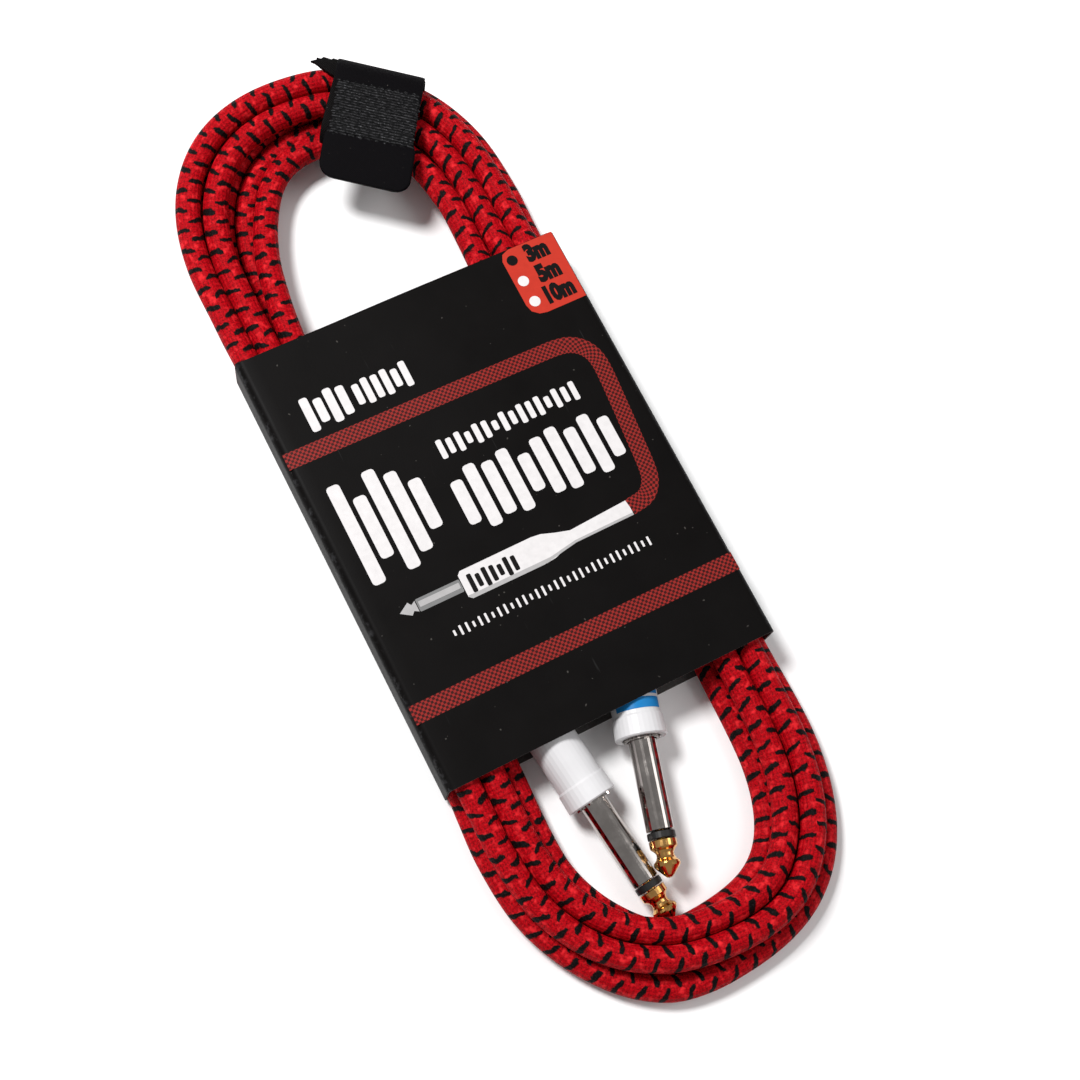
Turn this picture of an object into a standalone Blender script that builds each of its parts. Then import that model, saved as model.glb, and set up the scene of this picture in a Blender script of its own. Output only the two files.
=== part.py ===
"""Instrument cable: a wound braided cable in a printed card sleeve, with a hook-and-loop strap and two
6.35 mm mono jack plugs. It lies on its back: X across the card, Y along the hank towards the strap, Z up.
The origin is at the centre of the underside."""

import math

import bmesh
import bpy
from mathutils import Matrix, Vector

MM = 0.001
GAP = 0.3 * MM

# the wound cable
CABLE_R = 3.0 * MM
HANK_HALF_X = 41.0 * MM
HANK_TOP_Y = 121.0 * MM
HANK_BOTTOM_Y = -119.5 * MM
HANK_STRAIGHT_TOP = 72.0 * MM
HANK_STRAIGHT_BOTTOM = -71.0 * MM
HANK_Z = (1.5 * MM, 12.6 * MM)
HOLE_HALF_X = 26.6 * MM
HOLE_TOP_Y = 103.5 * MM
HOLE_BOTTOM_Y = -106.0 * MM
STEP_X = 19.4 * MM
STEP_Y = 8.0 * MM
STEP_END_Y = 46.0 * MM
HANK_ROUNDING = 2.2 * MM
END_POINTS = 22

# the card sleeve
CARD_WIDTH = 83.6 * MM
CARD_LENGTH = 110.2 * MM
CARD_HEIGHT = 13.4 * MM
CARD_WALL = 0.45 * MM
CARD_Y = -1.5 * MM
CARD_CORNER = 3.0 * MM

# the strap's own frame: x along the cable, y outwards from the loop, z up
STRAP_AT = Vector((17.3, 102.4, 0.0)) * MM
STRAP_ANGLE = math.radians(-38.3)
STRAP_WIDTH = 21.6 * MM
STRAP_THICK = 1.1 * MM
STRAP_Y = (-11.9 * MM, 13.1 * MM)
STRAP_HEIGHT = 14.05 * MM
FLAP_ROOT_Y = 9.3 * MM
FLAP_END_Y = -22.6 * MM
FLAP_WIDTH = 21.6 * MM
FLAP_THICK = 1.0 * MM
FLAP_CORNER = 3.5 * MM
CUT_END_Y = 4.6 * MM
CUT_END_TEETH = 4
CUT_END_PITCH = 1.25 * MM
CUT_END_REACH = 6.6 * MM
CUT_END_SHORTER = 1.5 * MM

# each plug's frame: origin at the middle of the grip's front face, z towards the tip
PLUGS = {
    "a": (Vector((3.4, -64.5, 7.4)) * MM, Vector((-0.294, -0.955, 0.036))),
    "b": (Vector((-12.9, -71.9, 6.1)) * MM, Vector((0.116, -0.993, -0.024))),
}
CONTACT_R = 3.175 * MM
RELIEF_BACK = -56.0 * MM
TAIL_POINTS = 11
TAIL_CLEAR = 1.0 * MM


def clear_scene():
    for obj in list(bpy.data.objects):
        bpy.data.objects.remove(obj, do_unlink=True)


def material(name, colour, roughness, metallic=0.0):
    made = bpy.data.materials.new(name)
    made.use_nodes = True
    shader = made.node_tree.nodes["Principled BSDF"]
    shader.inputs["Base Color"].default_value = (*colour, 1.0)
    shader.inputs["Roughness"].default_value = roughness
    shader.inputs["Metallic"].default_value = metallic
    return made


def add_mesh(name, bm, mat, parent=None, smooth=True):
    """Links the bmesh as a named object with outward normals."""
    bmesh.ops.recalc_face_normals(bm, faces=bm.faces)
    mesh = bpy.data.meshes.new(name)
    bm.to_mesh(mesh)
    bm.free()
    mesh.materials.append(mat)
    if smooth:
        mesh.shade_smooth()
        mesh.set_sharp_from_angle(angle=math.radians(35))
    obj = bpy.data.objects.new(name, mesh)
    bpy.context.scene.collection.objects.link(obj)
    obj.parent = parent
    return obj


def turned(name, profile, mat, parent=None, segments=32):
    """A body of revolution about local z. The profile holds (z, radius) pairs in order round the section;
    a section that doesn't close on itself starts and ends on the axis."""
    bm = bmesh.new()
    points = [bm.verts.new((radius, 0.0, z)) for z, radius in profile]
    edges = [bm.edges.new(pair) for pair in zip(points, points[1:])]
    if profile[0][1] > 0:
        edges.append(bm.edges.new((points[-1], points[0])))
    bmesh.ops.spin(
        bm,
        geom=points + edges,
        cent=(0, 0, 0),
        axis=(0, 0, 1),
        angle=math.tau,
        steps=segments,
        use_merge=True,
    )
    bmesh.ops.remove_doubles(bm, verts=bm.verts, dist=1e-6)
    return add_mesh(name, bm, mat, parent)


def extruded(name, outline, low, high, mat, parent=None, holes=(), rotate=None):
    """A flat outline in local xy raised from low to high, with holes through it."""
    bm = bmesh.new()
    edges = []
    for ring in (outline, *holes):
        verts = [bm.verts.new((x, y, low)) for x, y in ring]
        edges += [bm.edges.new((verts[i - 1], verts[i])) for i in range(len(verts))]
    faces = bmesh.ops.triangle_fill(bm, use_beauty=True, edges=edges)["geom"]
    faces = [item for item in faces if isinstance(item, bmesh.types.BMFace)]
    raised = bmesh.ops.extrude_face_region(bm, geom=faces, use_keep_orig=True)["geom"]
    moved = [item for item in raised if isinstance(item, bmesh.types.BMVert)]
    bmesh.ops.translate(bm, verts=moved, vec=(0, 0, high - low))
    if rotate is not None:
        bmesh.ops.transform(bm, matrix=rotate, verts=bm.verts)
    return add_mesh(name, bm, mat, parent)


def rounded_rectangle(low, high, radius, steps=6):
    """Outline points of a rectangle with round corners, anticlockwise."""
    corners = (
        (high[0] - radius, high[1] - radius, 0),
        (low[0] + radius, high[1] - radius, 90),
        (low[0] + radius, low[1] + radius, 180),
        (high[0] - radius, low[1] + radius, 270),
    )
    points = []
    for x, y, start in corners:
        for i in range(steps + 1):
            angle = math.radians(start + 90 * i / steps)
            points.append((x + radius * math.cos(angle), y + radius * math.sin(angle)))
    return points


def half_ellipse(centre_y, half_x, height, count, side):
    """Points of a rounded end, from +x to -x at the top (side 1) or from -x to +x at the bottom (side -1)."""
    points = []
    for i in range(count + 1):
        angle = math.pi * i / count
        points.append((side * half_x * math.cos(angle), centre_y + side * height * math.sin(angle)))
    return points


def smooth_route(points, count):
    """Evenly spread points of a Catmull-Rom curve through the route's points."""
    ends = [2 * points[0] - points[1], *points, 2 * points[-1] - points[-2]]
    dense = []
    for a, b, c, d in zip(ends, ends[1:], ends[2:], ends[3:]):
        for i in range(20):
            t = i / 20
            along = 2 * b + (c - a) * t
            bend = (2 * a - 5 * b + 4 * c - d) * t**2 + (3 * b - 3 * c + d - a) * t**3
            dense.append((along + bend) / 2)
    dense.append(points[-1])
    return [dense[round(i * (len(dense) - 1) / (count - 1))] for i in range(count)]


def tube(name, points, radius, mat):
    curve = bpy.data.curves.new(name, "CURVE")
    curve.dimensions = "3D"
    curve.bevel_depth = radius
    curve.bevel_resolution = 4
    curve.use_fill_caps = True
    spline = curve.splines.new("POLY")
    spline.points.add(len(points) - 1)
    for slot, point in zip(spline.points, points):
        slot.co = (*point, 1.0)
    curve.materials.append(mat)
    obj = bpy.data.objects.new(name, curve)
    bpy.context.scene.collection.objects.link(obj)
    return obj


def make_materials():
    return {
        "braid": material("braid_red", (0.52, 0.012, 0.02), 0.75),
        "card": material("card_black", (0.014, 0.013, 0.013), 0.45),
        "card_board": material("card_board", (0.55, 0.53, 0.5), 0.8),
        "strap": material("strap_black", (0.012, 0.012, 0.013), 0.9),
        "hook": material("strap_hook", (0.018, 0.018, 0.019), 0.6),
        "grip": material("grip_white", (0.78, 0.77, 0.78), 0.35),
        "nickel": material("nickel", (0.66, 0.62, 0.58), 0.18, 1.0),
        "gold": material("gold", (0.83, 0.55, 0.2), 0.2, 1.0),
        "insulator": material("insulator_black", (0.015, 0.014, 0.014), 0.4),
        "steel": material("steel", (0.6, 0.6, 0.6), 0.3, 1.0),
        "copper": material("copper", (0.8, 0.42, 0.28), 0.35, 1.0),
        "core": material("core_insulation", (0.75, 0.75, 0.72), 0.5),
    }


def make_hank(mats):
    """The wound turns' outer shape. Each inner step is where a plug's tail joins the bundle."""
    top = half_ellipse(
        HANK_STRAIGHT_TOP, HANK_HALF_X, HANK_TOP_Y - HANK_STRAIGHT_TOP, END_POINTS, 1
    )
    bottom = half_ellipse(
        HANK_STRAIGHT_BOTTOM, HANK_HALF_X, HANK_STRAIGHT_BOTTOM - HANK_BOTTOM_Y, END_POINTS, -1
    )
    hole_top = half_ellipse(
        HANK_STRAIGHT_TOP, HOLE_HALF_X, HOLE_TOP_Y - HANK_STRAIGHT_TOP, END_POINTS, 1
    )
    hole_bottom = half_ellipse(
        HANK_STRAIGHT_BOTTOM, HOLE_HALF_X, HANK_STRAIGHT_BOTTOM - HOLE_BOTTOM_Y, END_POINTS, -1
    )
    left = [
        (-HOLE_HALF_X, STEP_END_Y),
        (-STEP_X, STEP_Y + 14 * MM),
        (-STEP_X, STEP_Y),
        (-HOLE_HALF_X, STEP_Y),
    ]
    right = [(-x, y) for x, y in reversed(left)]
    hole = [*hole_top, *left, *hole_bottom, *right]
    hank = extruded("cable_hank", [*top, *bottom], *HANK_Z, mats["braid"], holes=[hole])
    bevel = hank.modifiers.new("round_edges", "BEVEL")
    bevel.width = HANK_ROUNDING
    bevel.segments = 3
    bevel.limit_method = "ANGLE"
    bevel.angle_limit = math.radians(60)


def make_tail(letter, frame, mats):
    """The free stretch from a plug's strain relief to the bundle's inner step."""
    side = 1 if frame.translation.x > 0 else -1
    start = frame @ Vector((0, 0, RELIEF_BACK - GAP))
    leave = frame.to_3x3() @ Vector((0, 0, -1))
    end_x = side * (HOLE_HALF_X - GAP - CABLE_R - TAIL_CLEAR)
    end = Vector((end_x, STEP_Y - GAP, start.z + 0.3 * MM))
    route = [
        start,
        start + leave * 4 * MM,
        (start + leave * 4 * MM).lerp(end - Vector((0, 4 * MM, 0)), 0.5),
        end - Vector((0, 4 * MM, 0)),
        end,
    ]
    tube("cable_tail_" + letter, smooth_route(route, TAIL_POINTS), CABLE_R, mats["braid"])


def make_card(mats):
    """A folded card sleeve, open at both ends, and the flap glued inside its back."""
    half = CARD_WIDTH / 2
    outer = rounded_rectangle((-half, 0), (half, CARD_HEIGHT), CARD_CORNER)
    inner = rounded_rectangle(
        (-half + CARD_WALL, CARD_WALL),
        (half - CARD_WALL, CARD_HEIGHT - CARD_WALL),
        CARD_CORNER - CARD_WALL,
    )
    upright = Matrix.Rotation(math.radians(90), 4, "X")
    start = -CARD_LENGTH / 2 - CARD_Y
    extruded(
        "card_sleeve",
        outer,
        start,
        start + CARD_LENGTH,
        mats["card"],
        holes=[inner],
        rotate=upright,
    )
    flap_low = CARD_WALL + GAP
    flap = rounded_rectangle((-38 * MM, -54 * MM), (-28.3 * MM, 51 * MM), 1.5 * MM, 4)
    extruded("card_glue_flap", flap, flap_low, flap_low + 0.4 * MM, mats["card_board"])


def make_strap(mats):
    place = Matrix.Translation(STRAP_AT) @ Matrix.Rotation(STRAP_ANGLE, 4, "Z")
    seat = bpy.data.objects.new("strap_seat", None)
    seat.matrix_world = place
    bpy.context.scene.collection.objects.link(seat)

    low, high = STRAP_Y
    outer = rounded_rectangle((low, 0), (high, STRAP_HEIGHT), 4 * MM)
    inner = rounded_rectangle(
        (low + STRAP_THICK, STRAP_THICK),
        (high - STRAP_THICK, STRAP_HEIGHT - STRAP_THICK),
        4 * MM - STRAP_THICK,
    )
    along = Matrix(((0, 0, 1, 0), (1, 0, 0, 0), (0, 1, 0, 0), (0, 0, 0, 1)))
    extruded(
        "strap_loop",
        outer,
        -STRAP_WIDTH / 2,
        STRAP_WIDTH / 2,
        mats["strap"],
        seat,
        holes=[inner],
        rotate=along,
    )

    # the strap's cut end, showing its teeth beside the loop
    edge = -STRAP_WIDTH / 2 - GAP
    high_y = CUT_END_Y + CUT_END_TEETH * CUT_END_PITCH
    teeth = [(edge, CUT_END_Y), (edge, high_y)]
    for i in range(CUT_END_TEETH):
        y = high_y - CUT_END_PITCH * i
        reach = CUT_END_REACH - CUT_END_SHORTER * i
        teeth.append((edge - reach, y - 0.2 * CUT_END_PITCH))
        teeth.append((edge - reach + 1.2 * MM, y - 0.8 * CUT_END_PITCH))
    low_z = STRAP_HEIGHT - STRAP_THICK
    extruded("strap_cut_end", teeth, low_z, low_z + 0.9 * MM, mats["hook"], seat)

    # the flap peels about the top edge of its root
    pivot = bpy.data.objects.new("flap_pivot", None)
    pivot_z = STRAP_HEIGHT + GAP + FLAP_THICK
    pivot.matrix_world = place @ Matrix.Translation((0, FLAP_ROOT_Y, pivot_z))
    bpy.context.scene.collection.objects.link(pivot)
    half = FLAP_WIDTH / 2
    reach = FLAP_END_Y - FLAP_ROOT_Y
    rounded = rounded_rectangle((-half, reach), (half, 0), FLAP_CORNER)
    tab = [(half, 0), (-half, 0)] + [point for point in rounded if point[1] < reach / 2]
    extruded("strap_flap", tab, -FLAP_THICK, 0, mats["strap"], pivot)


def plug_frame(point, direction):
    turn = direction.normalized().to_track_quat("Z", "Y")
    return Matrix.Translation(point) @ turn.to_matrix().to_4x4()


def scaled(profile):
    return [(z * MM, radius * MM) for z, radius in profile]


def make_plug(letter, frame, mats):
    seat = bpy.data.objects.new("plug_" + letter + "_seat", None)
    seat.matrix_world = frame
    bpy.context.scene.collection.objects.link(seat)
    start = "plug_" + letter + "_"

    # grip: a flared collar, a long body and a taper to the neck, bored through
    grip = [
        (0.0, 4.5), (0.0, 5.7), (-0.3, 6.0), (-4.6, 5.85), (-5.1, 5.55), (-33.0, 5.55),
        (-36.0, 5.3), (-40.0, 4.55), (-42.0, 4.3), (-42.0, 3.5), (-30.0, 3.5), (-28.0, 4.4),
        (-8.0, 4.4), (-6.5, 3.5), (-1.0, 3.5), (-1.0, 4.5),
    ]
    turned(start + "grip", scaled(grip), mats["grip"], seat)

    # strain relief: a soft neck with shallow grooves
    relief = [(-42.3, 3.5), (-42.3, 4.3)]
    for i in range(5):
        groove = -44.4 - 2.1 * i
        radius = 4.25 - 0.08 * i
        relief += [(groove, radius), (groove - 0.3, radius - 0.35), (groove - 0.9, radius - 0.35)]
        relief += [(groove - 1.2, radius - 0.03)]
    relief += [(-55.4, 3.88), (-56.0, 3.55), (-56.0, 3.35)]
    turned(start + "strain_relief", scaled(relief), mats["grip"], seat, 24)

    # toothed washer, half sunk in the grip's front face
    outline = []
    for i in range(48):
        angle = math.tau * i / 48
        radius = (4.15 if i % 2 else 3.85) * MM
        outline.append((radius * math.cos(angle), radius * math.sin(angle)))
    bore = [
        (3.45 * MM * math.cos(math.tau * i / 24), 3.45 * MM * math.sin(math.tau * i / 24))
        for i in range(24)
    ]
    extruded(start + "lock_washer", outline, -0.7 * MM, 0.5 * MM, mats["nickel"], seat, holes=[bore])

    barrel = [
        (21.1, 2.3), (21.1, 3.0), (20.95, CONTACT_R / MM), (-10.0, CONTACT_R / MM), (-10.0, 2.3),
    ]
    turned(start + "barrel", scaled(barrel), mats["nickel"], seat)

    ring = [(21.4, 1.5), (21.4, 3.1), (21.5, 3.2), (22.8, 3.2), (22.9, 3.1), (22.9, 1.5)]
    turned(start + "tip_ring", scaled(ring), mats["insulator"], seat)

    bush = [(20.8, 1.5), (20.8, 2.0), (-12.0, 2.0), (-12.0, 1.5)]
    turned(start + "bush", scaled(bush), mats["insulator"], seat, 20)

    tip = [
        (31.5, 0.0), (31.35, 0.6), (30.9, 1.1), (29.0, 2.85), (28.5, 3.02), (28.0, 2.9),
        (27.3, 2.25), (26.7, 1.98), (26.1, 1.98), (25.5, 2.35), (24.9, 3.0), (24.7, 3.12),
        (23.3, 3.12), (23.2, 3.02), (23.2, 1.2), (-14.0, 1.2), (-14.0, 0.0),
    ]
    turned(start + "tip", scaled(tip), mats["gold"], seat)

    washer = [(-12.3, 1.5), (-12.3, 3.9), (-13.3, 3.9), (-13.3, 1.5)]
    turned(start + "rear_washer", scaled(washer), mats["insulator"], seat, 20)

    # ground lug: a ring on the barrel's back with a strip reaching to the cable clamp
    lug = [(-13.6, 2.0), (-13.6, 3.8), (-14.0, 3.8), (-14.0, 2.0)]
    turned(start + "ground_ring", scaled(lug), mats["steel"], seat, 20)
    flat = rounded_rectangle((-1.4 * MM, -26 * MM), (1.4 * MM, -14.3 * MM), 0.6 * MM, 3)
    stand = Matrix(((1, 0, 0, 0), (0, 0, 1, 0), (0, 1, 0, 0), (0, 0, 0, 1)))
    extruded(
        start + "ground_lug", flat, 3.0 * MM, 3.4 * MM, mats["steel"], seat, rotate=stand
    )
    tip_lug = rounded_rectangle((-1.0 * MM, -18 * MM), (1.0 * MM, -14.3 * MM), 0.5 * MM, 3)
    extruded(
        start + "tip_lug", tip_lug, -0.2 * MM, 0.2 * MM, mats["copper"], seat, rotate=stand
    )

    core = [(-18.3, 0.0), (-18.3, 1.1), (-27.4, 1.1), (-27.4, 0.0)]
    turned(start + "core_wire", scaled(core), mats["core"], seat, 16)
    jacket = [(-27.7, 0.0), (-27.7, 2.9), (-28.0, CABLE_R / MM), (-56.0, CABLE_R / MM), (-56.0, 0.0)]
    turned(start + "cable_end", scaled(jacket), mats["braid"], seat, 20)


def main():
    clear_scene()
    mats = make_materials()
    make_hank(mats)
    make_card(mats)
    make_strap(mats)
    for letter, (point, direction) in PLUGS.items():
        frame = plug_frame(point, direction)
        make_plug(letter, frame, mats)
        make_tail(letter, frame, mats)
    bpy.context.view_layer.update()


main()
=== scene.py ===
"""The look of the wound instrument cable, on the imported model's frame."""

import math

import bmesh
import bpy
import numpy as np
from mathutils import Matrix, Vector


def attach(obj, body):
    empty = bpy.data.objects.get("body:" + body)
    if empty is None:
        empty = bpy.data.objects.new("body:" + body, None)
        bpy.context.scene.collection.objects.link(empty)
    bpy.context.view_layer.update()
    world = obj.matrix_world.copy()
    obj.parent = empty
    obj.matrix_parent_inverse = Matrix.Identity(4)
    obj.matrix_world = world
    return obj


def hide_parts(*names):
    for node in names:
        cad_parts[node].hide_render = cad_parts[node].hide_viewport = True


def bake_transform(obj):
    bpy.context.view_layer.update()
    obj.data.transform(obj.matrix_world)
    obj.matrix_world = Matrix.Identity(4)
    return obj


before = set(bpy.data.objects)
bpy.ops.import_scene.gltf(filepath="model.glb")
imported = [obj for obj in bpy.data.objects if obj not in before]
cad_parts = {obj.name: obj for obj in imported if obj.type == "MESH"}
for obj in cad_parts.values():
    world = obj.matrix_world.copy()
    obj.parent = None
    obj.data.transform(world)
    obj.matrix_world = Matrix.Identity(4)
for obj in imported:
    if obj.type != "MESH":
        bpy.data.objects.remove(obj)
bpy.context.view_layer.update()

MM = 0.001
CABLE_R = 3.0 * MM
CABLE_D = 2 * CABLE_R


# ---------------------------------------------------------------- camera, floor and light


CAMERA_PLACE = Vector((-87.1, -96.8, 386.5)) * MM
CAMERA_AIM = Vector((4.4, -12.9, 6.5)) * MM
CAMERA_UP = Vector((0.412, 0.864, 0.29))
CAMERA_LENS = 57.4
CAMERA_SENSOR = 36
FLOOR_HALF_SIZE = 3.0
SKY_STRENGTH = 0.31


def add_object(name, data):
    made = bpy.data.objects.new(name, data)
    bpy.context.scene.collection.objects.link(made)
    return made


def set_uvs(mesh, faces, places):
    """Gives each corner of the mesh's faces the place of its vertex on the woven or printed piece."""
    layer = mesh.uv_layers.new(name="weave")
    flat = [value for face in faces for corner in face for value in places[corner]]
    layer.data.foreach_set("uv", flat)


def grid_faces(rows, columns):
    """The faces of a grid whose vertices are listed row by row, one more each way than the faces."""
    corners = [i * (columns + 1) + j for i in range(rows) for j in range(columns)]
    return [(a, a + 1, a + columns + 2, a + columns + 1) for a in corners]


def turn_faces_out(mesh):
    bm = bmesh.new()
    bm.from_mesh(mesh)
    bmesh.ops.recalc_face_normals(bm, faces=bm.faces)
    bm.to_mesh(mesh)
    bm.free()


def add_camera():
    """Looks down on the card from its lower left, with the picture's up 25 degrees clockwise of +Y."""
    back = (CAMERA_PLACE - CAMERA_AIM).normalized()
    right = CAMERA_UP.cross(back).normalized()
    upward = back.cross(right)
    camera = add_object("camera", bpy.data.cameras.new("camera"))
    camera.data.lens = CAMERA_LENS
    camera.data.sensor_width = CAMERA_SENSOR
    camera.data.clip_start = 0.01
    turn = Matrix((right, upward, back)).transposed()
    camera.matrix_world = Matrix.Translation(CAMERA_PLACE) @ turn.to_4x4()
    bpy.context.scene.camera = camera


def add_area_light(name, place, size, power):
    """A round white lamp that faces the object."""
    data = bpy.data.lights.new(name, "AREA")
    data.shape = "DISK"
    data.size = size
    data.energy = power
    lamp = add_object(name, data)
    place = Vector(place)
    facing = place.to_track_quat("Z", "Y").to_matrix().to_4x4()
    lamp.matrix_world = Matrix.Translation(place) @ facing


def add_stage():
    bm = bmesh.new()
    bmesh.ops.create_grid(bm, x_segments=1, y_segments=1, size=FLOOR_HALF_SIZE)
    mesh = bpy.data.meshes.new("floor")
    bm.to_mesh(mesh)
    bm.free()
    floor = add_object("floor", mesh)
    mat = bpy.data.materials.new("floor_white")
    mat.use_nodes = True
    shader = mat.node_tree.nodes["Principled BSDF"]
    shader.inputs["Base Color"].default_value = (0.9, 0.9, 0.9, 1)
    shader.inputs["Roughness"].default_value = 0.9
    mesh.materials.append(mat)

    world = bpy.data.worlds.new("studio")
    world.use_nodes = True
    background = world.node_tree.nodes["Background"]
    background.inputs["Color"].default_value = (1, 1, 1, 1)
    background.inputs["Strength"].default_value = SKY_STRENGTH
    bpy.context.scene.world = world
    bpy.context.scene.view_settings.view_transform = "Standard"

    add_area_light("key", place=(-0.25, 0.4, 0.75), size=0.25, power=9.0)
    add_area_light("fill", place=(0.6, -0.35, 0.8), size=0.7, power=2.9)


# ---------------------------------------------------------------- shader helpers


class Shade:
    """A material's node tree, with short calls for the nodes used here."""

    def __init__(self, name):
        self.mat = bpy.data.materials.new(name)
        self.mat.use_nodes = True
        self.tree = self.mat.node_tree
        self.shader = self.tree.nodes["Principled BSDF"]

    def node(self, kind, **values):
        made = self.tree.nodes.new(kind)
        for key, value in values.items():
            setattr(made, key, value)
        return made

    def put(self, socket, value):
        if isinstance(value, bpy.types.NodeSocket):
            self.tree.links.new(value, socket)
        elif value is not None:
            socket.default_value = value

    def math(self, operation, a, b=None, c=None):
        made = self.node("ShaderNodeMath", operation=operation)
        for socket, value in zip(made.inputs, (a, b, c)):
            self.put(socket, value)
        return made.outputs[0]

    def times(self, a, b):
        return self.math("MULTIPLY", a, b)

    def times_add(self, a, b, c):
        """a times b, plus c."""
        return self.math("MULTIPLY_ADD", a, b, c)

    def mix(self, share, a, b):
        made = self.node("ShaderNodeMix", data_type="RGBA")
        self.put(made.inputs["Factor"], share)
        for key, value in (("A", a), ("B", b)):
            socket = next(s for s in made.inputs if s.name == key and s.type == "RGBA")
            if isinstance(value, tuple):
                value = (*value, 1)
            self.put(socket, value)
        return next(s for s in made.outputs if s.type == "RGBA")

    def step(self, value, low, high):
        """0 below low and 1 above high, smoothly."""
        made = self.node("ShaderNodeMapRange", interpolation_type="SMOOTHSTEP")
        self.put(made.inputs["Value"], value)
        made.inputs["From Min"].default_value = low
        made.inputs["From Max"].default_value = high
        return made.outputs["Result"]

    def noise(self, vector, scale, detail=3, rough=0.55):
        made = self.node("ShaderNodeTexNoise")
        self.put(made.inputs["Vector"], vector)
        made.inputs["Scale"].default_value = scale
        made.inputs["Detail"].default_value = detail
        made.inputs["Roughness"].default_value = rough
        return made.outputs[0]

    def scaled(self, vector, factors):
        """The vector with each of its axes multiplied by a factor."""
        made = self.node("ShaderNodeVectorMath", operation="MULTIPLY")
        self.put(made.inputs[0], vector)
        made.inputs[1].default_value = factors
        return made.outputs[0]

    def object_space(self):
        return self.node("ShaderNodeTexCoord").outputs["Object"]

    def uv(self):
        made = self.node("ShaderNodeUVMap", uv_map="weave")
        split = self.node("ShaderNodeSeparateXYZ")
        self.put(split.inputs[0], made.outputs[0])
        return split.outputs[0], split.outputs[1], made.outputs[0]

    def bump(self, height, distance, strength=1.0):
        made = self.node("ShaderNodeBump")
        made.inputs["Distance"].default_value = distance
        made.inputs["Strength"].default_value = strength
        self.put(made.inputs["Height"], height)
        self.put(self.shader.inputs["Normal"], made.outputs[0])

    def set(self, **values):
        for key, value in values.items():
            socket = self.shader.inputs[key.replace("_", " ")]
            if isinstance(value, tuple) and socket.type == "RGBA":
                value = (*value, 1)
            self.put(socket, value)
        return self.mat


# ---------------------------------------------------------------- the cable


BRAID_PITCH = 5.2 * MM
BRAID_ROWS = 4.0
TRACER_SLANT = 0.24
TRACER_HALF_WIDTH = 0.12
WEAVE_LENGTH = 2.2 * MM
WEAVE_TURNS = 9.0
CABLE_ROUND = 18.8 * MM


def braid_material():
    """Red yarn with rows of black tracer yarn. u is metres along the cable, v goes once round."""
    s = Shade("cable_braid")
    along, around, both = s.uv()
    in_metres = s.scaled(both, (1.0, CABLE_ROUND, 1.0))
    rows = s.times(around, BRAID_ROWS)
    row = s.math("FLOOR", rows)
    across = s.math("SUBTRACT", s.math("SUBTRACT", rows, row), 0.5)
    odd = s.math("MODULO", row, 2.0)
    slope = s.math("SUBTRACT", s.times(odd, 2.0), 1.0)
    # the tracers wander: no two floats lie quite alike
    wander = s.times_add(s.noise(in_metres, 260, 2), 0.5, -0.25)
    turns = s.math("ADD", s.math("DIVIDE", along, BRAID_PITCH), wander)
    shifted = s.times_add(s.times(across, slope), TRACER_SLANT, turns)
    shifted = s.times_add(odd, 0.5, shifted)
    place = s.math("ABSOLUTE", s.math("SUBTRACT", s.math("FRACT", shifted), 0.5))
    # each tracer float is thinner where it dives under at its ends
    ends = s.step(s.math("ABSOLUTE", across), 0.3, 0.56)
    ragged = s.math("SUBTRACT", s.noise(in_metres, 1500, 3, 0.7), 0.5)
    thinned = s.times_add(ends, -0.5 * TRACER_HALF_WIDTH, TRACER_HALF_WIDTH)
    half = s.times_add(ragged, 0.11, thinned)
    float_share = s.step(s.math("SUBTRACT", half, place), -0.028, 0.028)

    # the ground weave: yarns crossing both ways, about a millimetre apart
    lean = s.times(along, 1 / WEAVE_LENGTH)
    turn = s.times(around, WEAVE_TURNS)
    one = s.math("SINE", s.times(s.math("ADD", lean, turn), math.tau))
    two = s.math("SINE", s.times(s.math("SUBTRACT", lean, turn), math.tau))
    weave = s.times_add(s.times(one, two), 0.5, 0.5)
    fibre = s.noise(in_metres, 2600, 3, 0.7)
    painted_highlight_blotch = s.noise(in_metres, 500, 2)

    light = s.times_add(weave, 0.12, fibre)
    red = s.mix(s.step(light, 0.33, 0.78), (0.12, 0.0003, 0.002), (0.52, 0.0015, 0.007))
    # bright red spots of painted highlight, standing in for light glinting off glossy fibres
    red = s.mix(s.step(painted_highlight_blotch, 0.5, 0.75), red, (0.7, 0.018, 0.024))
    # the black tracer's lighter flecks are partly fibre tone and partly painted highlight on its fuzz
    black = s.mix(s.step(fibre, 0.5, 0.75), (0.003, 0.002, 0.002), (0.022, 0.018, 0.018))
    colour = s.mix(float_share, red, black)
    raised = s.times_add(float_share, 0.9, s.times(weave, 0.8))
    s.bump(s.times_add(fibre, 0.7, raised), 0.14 * MM, 0.9)
    return s.set(
        Base_Color=colour,
        Roughness=0.62,
        Sheen_Weight=0.02,
        Sheen_Roughness=0.4,
        Sheen_Tint=(1.0, 0.1, 0.1),
        Specular_IOR_Level=0.06,
    )


HANK_HALF_X = 41.3 * MM
HANK_TOP = (72.0 * MM, 48.4 * MM)
HANK_BOTTOM = (-71.0 * MM, 46.9 * MM)
END_SQUARENESS = 2.25
BOTTOM_SKEW = 4.5 * MM
STRAIGHT = 143.0 * MM
TOP_ROUND = 117.0 * MM
BOTTOM_ROUND = 118.0 * MM
TURN = 2 * STRAIGHT + TOP_ROUND + BOTTOM_ROUND

# places round one turn, as nominal metres from the foot of the right side
RIGHT_LOW = 15.0 * MM
RIGHT_HIGH = 126.0 * MM
TOP_START = STRAIGHT
LEFT_START = STRAIGHT + TOP_ROUND
LEFT_HIGH = LEFT_START + 17.0 * MM
LEFT_LOW = LEFT_START + 128.0 * MM
BOTTOM_START = LEFT_START + STRAIGHT

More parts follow.
